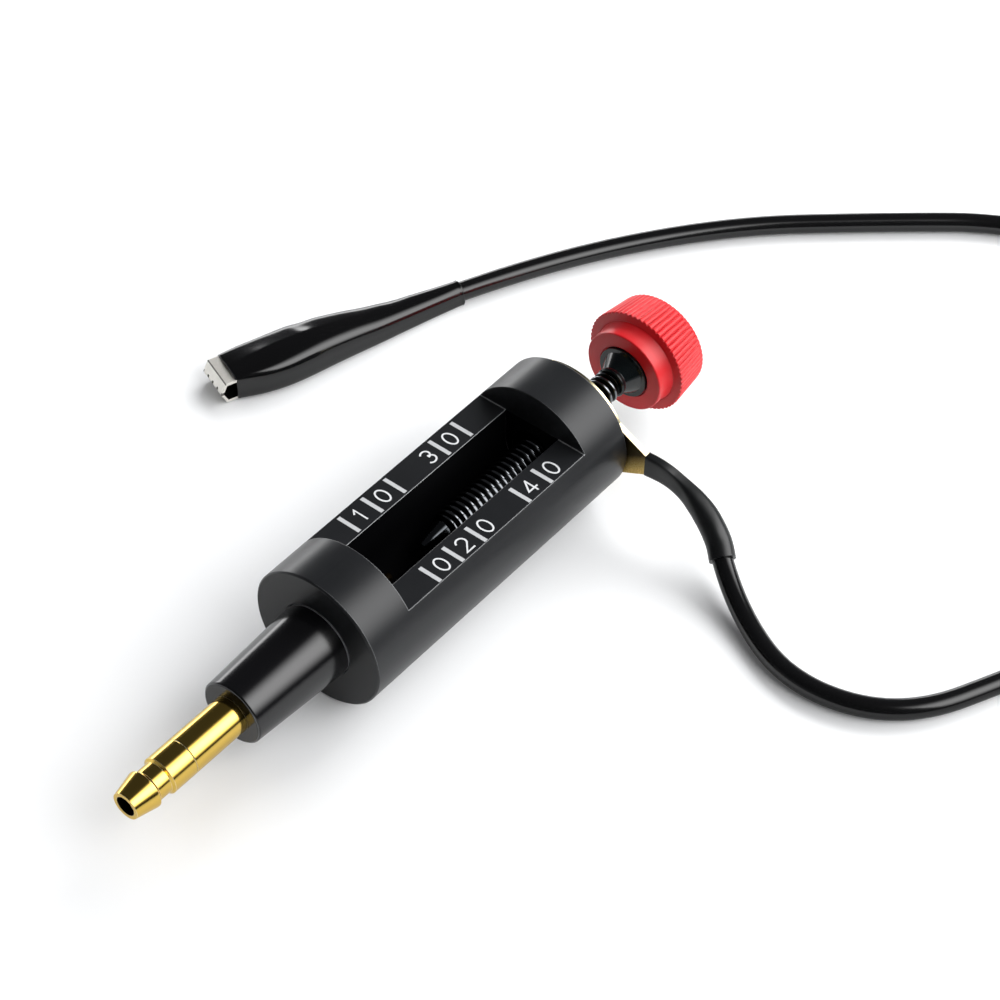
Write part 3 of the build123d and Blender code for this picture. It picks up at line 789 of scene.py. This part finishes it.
# %% [markdown]
# ## The heat-shrink sleeve
#
# Shrink tubing grips the flat tab at one end and the round lead at the other. Its section is a rounded
# rectangle that turns into a circle, which a superellipse does with one number: a high power is boxy and
# two is round. Middle, width, height and power are set at a few places and eased between them. A slow noise
# puckers the skin where it has shrunk over the tab.

# %% Heat-shrink sleeve
sleeve_line = [  # middle in mm, width across the tab's plane, height, boxiness
    ((81.00, -16.1, 0.00), 1.6, 4.4, 9.0),
    ((81.20, -18.6, -0.10), 1.7, 4.2, 8.0),
    ((81.50, -21.1, -0.80), 1.9, 3.7, 6.0),
    ((81.50, -23.6, -1.65), 2.4, 3.6, 4.0),
    ((81.20, -26.0, -2.55), 3.3, 3.9, 2.8),
    ((80.70, -28.3, -3.60), 4.0, 4.2, 2.3),
    ((79.90, -30.5, -4.75), 4.3, 4.4, 2.0),
    ((78.95, -32.5, -6.10), 4.4, 4.4, 2.0),
    ((77.40, -34.4, -7.30), 4.4, 4.4, 2.0),
]
sleeve_steps, sleeve_sides = 8, 56
pucker_height, pucker_width = 0.07 * mm, 2.2 * mm
pucker_end = 0.6  # share of the sleeve that is puckered
look_ahead = 0.01  # share of the sleeve over which its direction is taken

# %% Smooth lines and sections


def smooth_through(values, share):
    """A Catmull-Rom line through the values, at a share of the way."""
    spans = len(values) - 1
    at = min(int(share * spans), spans - 1)
    t = share * spans - at
    before, start, end, after = (values[min(max(at + k, 0), spans)] for k in (-1, 0, 1, 2))
    square = 2 * before - 5 * start + 4 * end - after
    cube = 3 * (start - end) + after - before
    return start + 0.5 * t * ((end - before) + t * (square + t * cube))


def superellipse(angle, power):
    """The point at an angle on a circle of radius one, or on an ever boxier one as the power grows."""
    c, s = cos(angle), sin(angle)
    reach = (abs(c) ** power + abs(s) ** power) ** (-1 / power)
    return reach * c, reach * s


def square_to(along, axis):
    """The direction nearest to an axis that is square to another direction."""
    return (axis - along * axis.dot(along)).normalized()


# %% Sleeve's rings
sleeve_rings = []
total_steps = sleeve_steps * (len(sleeve_line) - 1)
sleeve_middles, *sleeve_sizes = zip(*sleeve_line)
sleeve_middles = [Vector(middle) * mm for middle in sleeve_middles]
for step in range(total_steps + 1):
    share = step / total_steps
    middle = smooth_through(sleeve_middles, share)
    ahead = smooth_through(sleeve_middles, min(share + look_ahead, 1.0))
    behind = smooth_through(sleeve_middles, max(share - look_ahead, 0.0))
    along = (ahead - behind).normalized()
    across = square_to(along, Vector((1, 0, 0)))
    up = across.cross(along).normalized()
    width, height, power = (smooth_through(column, share) for column in sleeve_sizes)
    ring = []
    for side in range(sleeve_sides):
        a, b = superellipse(2 * pi * side / sleeve_sides, max(power, 2.0))
        outward = across * (a * width * mm / 2) + up * (b * height * mm / 2)
        pucker = pucker_height * sin(pi * min(share / pucker_end, 1.0))
        pucker *= noise((middle + outward) / pucker_width)
        ring.append(middle + outward + outward.normalized() * pucker)
    sleeve_rings.append(ring)
sleeve = skin_over("shrink_sleeve", sleeve_rings, shrink_black, "tester", ["heat_shrink_sleeve"])
sleeve.data.set_sharp_from_angle(angle=radians(40))
print("sleeve rings", len(sleeve_rings))

# %% [markdown]
# ## The clip's boot
#
# The boot is a dipped vinyl sock, pulled over the clip from behind. Its mouth is a flat box round the jaws,
# it bellies out over the hinge, and its tail hugs the lead. It lies on the table, so its sections grow up
# from the floor. The same superellipse serves, and three soft dents are pressed into its top, where the
# handle gives under a thumb.

# %% Boot's sections
boot_line = [
    # from the mouth, half width near and far, height in mm, boxiness near and far, slope of the far top
    (0.0, 4.05, 4.05, 5.3, 8.0, 8.0, 0.08),
    (4.5, 5.35, 4.4, 5.9, 4.6, 9.0, 0.17),
    (9.0, 5.85, 4.3, 6.35, 3.4, 7.0, 0.17),
    (13.5, 5.6, 4.15, 6.5, 3.0, 5.5, 0.13),
    (18.0, 5.0, 3.9, 6.3, 2.9, 4.2, 0.09),
    (23.0, 4.4, 3.5, 5.8, 2.8, 3.2, 0.06),
    (28.0, 3.85, 3.1, 5.1, 2.7, 2.5, 0.05),
    (34.0, 3.1, 2.65, 4.55, 2.5, 2.2, 0.02),
    (40.0, 2.45, 2.35, 4.15, 2.3, 2.0, 0.0),
    (45.3, 2.0, 2.0, 4.0, 2.0, 2.0, 0.0),
]
boot_steps, boot_sides = 8, 96
side_lean = 0.14  # how far the near side leans in on its way up, as a share of its width
foot_boxiness = 4.5
dents = [  # in mm from the mouth and from the middle, radius, depth
    (6.5, 2.6, 3.2, 0.12),
    (15.5, 2.5, 3.0, 0.26),
    (33.0, 1.8, 3.4, 0.14),
]


def boot_ring(share, inset=0.0):
    """One section of the boot, flat on the table, boxy on the near side and rounder on the far side."""
    row = [smooth_through(column, share) for column in zip(*boot_line)]
    u, near, far, height, near_power, far_power, slope = row
    middle = clip_mouth + (clip_along * u + clip_up * height / 2) * mm
    ring = []
    for step in range(boot_sides):
        angle = 2 * pi * step / boot_sides
        on_near_side = cos(angle) < 0
        power = foot_boxiness if sin(angle) < 0 else near_power if on_near_side else far_power
        a, b = superellipse(angle, power)
        a *= (near if on_near_side else far) - inset
        b *= height / 2 - inset
        if a < 0:
            a *= 1 - side_lean * (b / height + 0.5)
        if b > 0 and a > 0:
            b -= slope * height * (a / far) * (2 * b / height)
        if b > 0:
            for dent_u, dent_v, spread, depth in dents:
                away = hypot(u - dent_u, a - dent_v) / spread
                b -= depth * max(0.0, 1 - away * away) ** 2
        ring.append(middle + (clip_across * a + clip_up * b) * mm)
    return ring


# %% [markdown]
# ## The boot's mouth and tail
#
# At the mouth the skin turns in over a thin lip and runs back inside as the sock's own wall. The tail ends
# in the small bead that dipping leaves.

# %% Boot
boot_wall = 0.5
mouth_lip_bulge = 0.2 * mm
bead_swell, bead_length, tail_end_size = 1.05, 0.25 * mm, 0.95
inside_rings = (16, 8, 0)
total_steps = boot_steps * (len(boot_line) - 1)
inner_rings = [boot_ring(step / total_steps, boot_wall) for step in inside_rings]
outer_rings = [boot_ring(step / total_steps) for step in range(total_steps + 1)]
mouth_lip = []
for outer, inner in zip(outer_rings[0], inner_rings[-1]):
    mouth_lip.append((outer + inner) / 2 - clip_along * mouth_lip_bulge)
tail_u, tail_height = boot_line[-1][0], boot_line[-1][3]
tail_middle = clip_mouth + (clip_along * tail_u + clip_up * tail_height / 2) * mm
tail_bead = [tail_middle + (p - tail_middle) * bead_swell - clip_along * bead_length for p in outer_rings[-1]]
for point in tail_bead:
    point.z = max(point.z, clip_mouth.z)
outer_rings[-1] = [tail_middle + (p - tail_middle) * tail_end_size for p in outer_rings[-1]]
boot_all = inner_rings + [mouth_lip] + outer_rings[:-1] + [tail_bead] + outer_rings[-1:]
print("boot rings", len(boot_all))
boot = skin_over("vinyl_boot", boot_all, vinyl_black, None, ["clip_boot"])

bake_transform(boot)

# %% [markdown]
# ## The clip's spring
#
# A torsion spring closes the jaws: hard wire in two and a half turns round the pin, with a leg on each jaw.
# The engineering model keeps it as one stiff block. Here it is wound as a wire, a row of small rings along
# a spiral with two straight ends.

# %% Spring
wire_radius, wire_sides = 0.3, 12
coil_along, coil_height, coil_radius = 13.5, 3.2, 1.27
coil_turns, coil_steps = 2.5, 60
leg_side, leg_end = 0.84, 20.0
lower_leg_height, upper_leg_height = 1.35, 4.05
spring_path = [Vector((leg_end, -leg_side, lower_leg_height))]
for step in range(coil_steps + 1):
    share = step / coil_steps
    angle = -pi / 2 - 2 * pi * coil_turns * share
    u, w = coil_along + coil_radius * cos(angle), coil_height + coil_radius * sin(angle)
    spring_path.append(Vector((u, leg_side * (2 * share - 1), w)))
spring_path.append(Vector((leg_end, leg_side, upper_leg_height)))
spring_rings = []
for i, middle in enumerate(spring_path):
    along = (spring_path[min(i + 1, len(spring_path) - 1)] - spring_path[max(i - 1, 0)]).normalized()
    side = square_to(along, Vector((0, 1, 0)))
    up = along.cross(side)
    ring = []
    for step in range(wire_sides):
        angle = 2 * pi * step / wire_sides
        point = middle + (side * cos(angle) + up * sin(angle)) * wire_radius
        ring.append(clip_mouth + (clip_along * point.x + clip_across * point.y + clip_up * point.z) * mm)
    spring_rings.append(ring)
spring = skin_over("wound_spring", spring_rings, clip_steel, None, ["clip_spring"])
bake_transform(spring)
print("spring rings", len(spring_rings))

# %% [markdown]
# ## The lead's finish
#
# The lead stands for the plain tube of the engineering model, which is hidden, and gets the jacket's
# finish. A tester like this has 30 to 40 cm of lead, and this route gives 32.

ground_lead.data.materials.append(jacket_black)
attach(ground_lead, "tester")
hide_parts("ground_cord")

# %% [markdown]
# ## The printed scale
#
# Beside the window the body carries a scale in a plain stroke, printed with a pad. Text objects would bring
# a typeface with its own weight, so each figure is the path of a pen here.

# %% Figures as strokes
ink_height = 0.02 * mm
stroke, tick_width = 0.31, 0.72
figure_height, figure_width = 2.95, 1.8
body_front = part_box("casing")[0].x / mm
zero_at = body_front + 16.9
division = 5.45


def arc(cx, cy, rx, ry, start, end, steps=14):
    """Points of an elliptic arc between two angles in degrees."""
    points = []
    for step in range(steps + 1):
        angle = radians(start + (end - start) * step / steps)
        points.append((cx + rx * cos(angle), cy + ry * sin(angle)))
    return points


half = figure_width / 2
top = figure_height / 2
figures = {  # strokes as (right, up) points in mm about the middle of the figure
    "0": [arc(0, 0, half, top, 0, 360, 40)[:-1]],
    "1": [[(-0.55, top - 0.75), (0.15, top), (0.15, -top)]],
    "2": [arc(0, top - half, half, half, 165, -38) + [(-half, -top), (half + 0.05, -top)]],
    "3": [
        arc(0, top - 0.86 * half, 0.92 * half, 0.86 * half, 150, -90),
        arc(0, -top + half, half, top - 0.72 * half, 90, -150),
    ],
    "4": [
        [(0.35, -top), (0.35, top)],
        [(0.35, top - 0.1), (-half - 0.1, -0.45 * top), (half + 0.15, -0.45 * top)],
    ],
}

# %% [markdown]
# ## From strokes to ink
#
# A stroke is thickened to a flat ribbon with square ends. The ribbons stand a fiftieth of a millimetre
# proud, as thick ink does, and every second one a little more, so that strokes which cross don't share a
# face.

# %% Ribbons of ink


def ribbon(mesh, points, width, closed, height):
    """Adds a ribbon with square ends along points in the plane of the scale, as a block of its own height."""
    path = [Vector(p) for p in points]
    count = len(path)
    left, right = [], []
    for i, here in enumerate(path):
        before = path[i - 1] if i or closed else here
        after = path[(i + 1) % count] if i < count - 1 or closed else here
        one = (here - before).normalized() if (here - before).length else (after - here).normalized()
        two = (after - here).normalized() if (after - here).length else one
        normal = Vector((-(one.y + two.y), one.x + two.x)).normalized()
        reach = width / 2 / max(normal.dot(Vector((-one.y, one.x))), 0.5)
        left.append(here + normal * reach)
        right.append(here - normal * reach)
    loops = [(left, 0.0), (left, height), (right, height), (right, 0.0)]
    rows = [[mesh.verts.new((p.x, p.y, z)) for p in side] for side, z in loops]
    for i in range(count if closed else count - 1):
        k = (i + 1) % count
        for one, two in zip(rows, rows[1:] + rows[:1]):
            mesh.faces.new((one[i], one[k], two[k], two[i]))
    if not closed:
        mesh.faces.new([row[0] for row in rows])
        mesh.faces.new([row[-1] for row in rows])


def print_on_flat(name, marks, ink):
    """Turns (points, x, y, closed, width) strokes into one inked mesh on the body's flat."""
    ink_mesh = bmesh.new()
    for number, (points, x, y, closed, width) in enumerate(marks):
        height = ink_height / mm * (1 + 0.25 * (number % 2))
        ribbon(ink_mesh, [(x + px, y + py) for px, py in points], width, closed, height)
    bmesh.ops.recalc_face_normals(ink_mesh, faces=ink_mesh.faces)
    bmesh.ops.scale(ink_mesh, vec=(mm, mm, mm), verts=ink_mesh.verts)
    bmesh.ops.translate(ink_mesh, vec=(0, 0, scale_flat_z), verts=ink_mesh.verts)
    mesh = bpy.data.meshes.new(name)
    ink_mesh.to_mesh(mesh)
    ink_mesh.free()
    mesh.materials.append(ink)
    piece = new_object(name, mesh)
    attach(piece, "tester")


# %% [markdown]
# ## The marks themselves
#
# The lines are printed in grey and the figures in white. A number of two figures stands astride its line,
# with one figure on either side of it: 20 and 40 on the near side of the window, 10 and 30 on the far side.

# %% Scale marks
for name, middle, half_tick, row in (
    ("near_scale", -8.5, 2.15, ((0.5, "0"), (1.48, "2"), (2.43, "0"), (4.45, "4"), (5.43, "0"))),
    ("far_scale", 8.05, 2.25, ((0.48, "1"), (1.47, "0"), (3.5, "3"), (4.48, "0"))),
):
    line = [(0, -half_tick), (0, half_tick)]
    ticks = [(line, zero_at + division * k, middle, False, tick_width) for k in (0, 1, 2, 4, 5)]
    strokes = []
    for share, figure in row:
        for points in figures[figure]:
            strokes.append((points, zero_at + division * share, middle, figure == "0", stroke))
    print_on_flat(name + "_lines", ticks, inks["grey_pad_ink"])
    print_on_flat(name + "_figures", strokes, inks["white_pad_ink"])
    print(name, "lines", len(ticks), "strokes", len(strokes))

# %% [markdown]
# ## The paper
#
# The tool lies on white paper. It is lit like any surface, and from a quarter of a metre away it also glows
# for the camera, so that the backdrop runs out to pure white. Gloss and metal mirror other paper than the
# camera sees: it fades out a hand's breadth in front of the tool, which draws the dark line under the light
# band.

# %% Paper
floor_z = model_low.z
reach = 6.0
corners = [(reach * x, reach * y, floor_z) for x, y in ((-1, -1), (1, -1), (1, 1), (-1, 1))]
floor_mesh = bpy.data.meshes.new("paper")
floor_mesh.from_pydata(corners, [], [(0, 1, 2, 3)])
paper = new_object("paper", floor_mesh)
paper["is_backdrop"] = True
paper_white, tree, shader, place = finish("white_paper", "#f2f3f4", 0.9)
feed(shader, {"Specular IOR Level": 0.0})
floor_mesh.materials.append(paper_white)
print("paper at z in mm", round(floor_z / mm, 2))

# %% Paper for the camera and in the mirror
front_gone_y, front_full_y = -150 * mm, -50 * mm
far_start_y, far_full_y = 40 * mm, 90 * mm
mirror_share = 0.75
own_light = 0.06
tool_middle = (45 * mm, 0.0, floor_z)
clear_of_tool, all_white = 250 * mm, 700 * mm
path = add(tree, "LightPath")
for_camera, for_gloss, through_clear = (
    path.outputs["Is " + ray + " Ray"] for ray in ("Camera", "Glossy", "Transmission")
)
y = add(tree, "SeparateXYZ", {0: place}).outputs["Y"]
mirrored = add(
    tree, "MapRange", {"Value": y, "From Min": front_gone_y, "From Max": front_full_y, "To Max": mirror_share}
)
far_side = add(
    tree,
    "MapRange",
    {"Value": y, "From Min": far_start_y, "From Max": far_full_y, "To Max": 1.0 - mirror_share},
)
in_mirror = add(tree, "Math", {0: mirrored, 1: far_side}, operation="ADD")
brightness = add(tree, "MapRange", {"Value": for_gloss, "To Min": 1.0, "To Max": in_mirror})
cover = painted_over(tree, paint("#000000"), (brightness, "#f2f3f4"))
feed(shader, {"Base Color": cover})
seen = add(tree, "Math", {0: for_camera, 1: for_gloss}, operation="MAXIMUM")
seen = add(tree, "Math", {0: seen, 1: through_clear}, operation="MAXIMUM")
glow_on = add(tree, "Math", {0: brightness, 1: own_light}, operation="MULTIPLY")
glow_on = where_all(tree, glow_on, seen)
from_tool = add(tree, "VectorMath", {0: place, 1: tool_middle}, operation="DISTANCE")
backdrop = add(tree, "MapRange", {"Value": from_tool, "From Min": clear_of_tool, "From Max": all_white})
backdrop = where_all(tree, backdrop, for_camera)
glow_on = add(tree, "Math", {0: glow_on, 1: backdrop}, operation="MAXIMUM")
glow = add(tree, "Emission", {"Color": paint("#ffffff"), "Strength": glow_on})
lit = add(tree, "AddShader", {0: shader, 1: glow})
feed(tree.nodes["Material Output"], {"Surface": lit})
print("paper is all white from mm", round(all_white / mm))

# %% [markdown]
# ## The lamps
#
# A softbox on the right, not quite as high as it is far, is the broad light band on every round piece; it
# is brightest in the middle and fades out to both edges. A low strip beyond the tool gives the thin bright
# line on the other edge. A third, strong lamp shines along the tool from the knob's end: it lights the
# paper and throws the soft shadows forward, and it is kept out of the mirror images, as a screen would keep
# it. A slip of white card against the near wall of the open slot, where the camera can't see it, gives
# every turn of the thread its bright arc. It is a lamp for reflections only. All are set by the brightness
# of their face, so one can grow without getting brighter.

# %% Lamps
lamp_distance = 0.9
middle_of_tool, middle_of_slot = (45, 0, 0), (57, 0, 2.6)  # in mm


def soft_lamp(name, direction, distance, size, radiance, target=middle_of_tool):
    """A rectangular lamp that faces a place on the tool, with its first side along the tool."""
    lamp = bpy.data.lights.new(name, "AREA")
    lamp.shape = "RECTANGLE"
    lamp.size, lamp.size_y = size
    lamp.energy = radiance * pi * size[0] * size[1]
    thing = new_object(name, lamp)
    back = Vector(direction).normalized()
    along = square_to(back, Vector((1, 0, 0)))
    turn = Matrix((along, back.cross(along), back)).transposed()
    thing.matrix_world = Matrix.Translation(Vector(target) * mm + back * distance) @ turn.to_4x4()
    thing.visible_camera = False
    print(name, "watts", round(lamp.energy, 1))
    return thing


def fade_to_long_edges(lamp):
    """Makes a lamp's face brightest along its middle."""
    lamp.data.use_nodes = True
    tree = lamp.data.node_tree
    face = add(tree, "NewGeometry").outputs["Parametric"]
    height = add(tree, "SeparateXYZ", {0: face}).outputs["Y"]
    off_middle = add(tree, "Math", {0: height, 1: 0.5}, operation="SUBTRACT")
    off_middle = add(tree, "Math", {0: off_middle}, operation="ABSOLUTE")
    full_to_none = {"Value": off_middle, "From Min": 0.05, "From Max": 0.5, "To Min": 1.0, "To Max": 0.0}
    fade = add(tree, "MapRange", full_to_none, interpolation_type="SMOOTHSTEP")
    feed(tree.nodes["Emission"], {"Strength": fade})


softbox = soft_lamp("long_softbox", (0.39, -0.705, 0.592), lamp_distance, (1.26, 1.31), 4.8)
soft_lamp("low_strip", (0.39, 0.915, 0.096), lamp_distance, (1.4, 0.19), 3.9)
rear_lamp = soft_lamp("rear_lamp", (0.80, 0.12, 0.59), lamp_distance, (0.5, 0.8), 7.6)
slot_card = soft_lamp("slot_card", (0.0, -1.0, 0.0), 5.3 * mm, (14 * mm, 7.4 * mm), 2.8, middle_of_slot)
rear_lamp.visible_glossy = False
slot_card.visible_diffuse = False
fade_to_long_edges(softbox)
fade_to_long_edges(slot_card)

# %% [markdown]
# ## The dark ceiling
#
# The room above the table is dark, so that metal and gloss have something to mirror beside the lamps. Only
# the far horizon is a little lighter, as a studio's white wall is, and the camera sees white where the
# paper ends.

# %% Dark ceiling
ceiling_light, far_horizon_light = 0.05, 0.3
horizon_top = 0.5  # height of the view's direction at which the horizon's light has gone
world = bpy.data.worlds.new("studio")
bpy.context.scene.world = world
world.use_nodes = True
tree = world.node_tree
direction = add(tree, "SeparateXYZ", {0: add(tree, "TexCoord").outputs["Generated"]})
y, z = direction.outputs["Y"], direction.outputs["Z"]
low = add(tree, "MapRange", {"Value": z, "From Max": horizon_top, "To Min": far_horizon_light, "To Max": 0.0})
far = add(tree, "MapRange", {"Value": y, "From Min": -0.1, "From Max": 0.4})
strength = add(tree, "Math", {0: low, 1: far, 2: ceiling_light}, operation="MULTIPLY_ADD")
for_camera = add(tree, "LightPath").outputs["Is Camera Ray"]
strength = add(tree, "Math", {0: strength, 1: for_camera}, operation="MAXIMUM")
feed(tree.nodes["Background"], {"Color": paint("#f2f4fa"), "Strength": strength})
print("ceiling", ceiling_light, "far horizon", far_horizon_light)

# %% [markdown]
# ## The size and close
#
# Dressing must not make the tool bigger, so the last line prints how much the box has grown.

# %% Sizes and end
shown_low, shown_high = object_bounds()
growth = [round((s - m) / mm, 2) for s, m in zip(shown_high - shown_low, model_high - model_low)]
print("growth of the box in mm", growth)
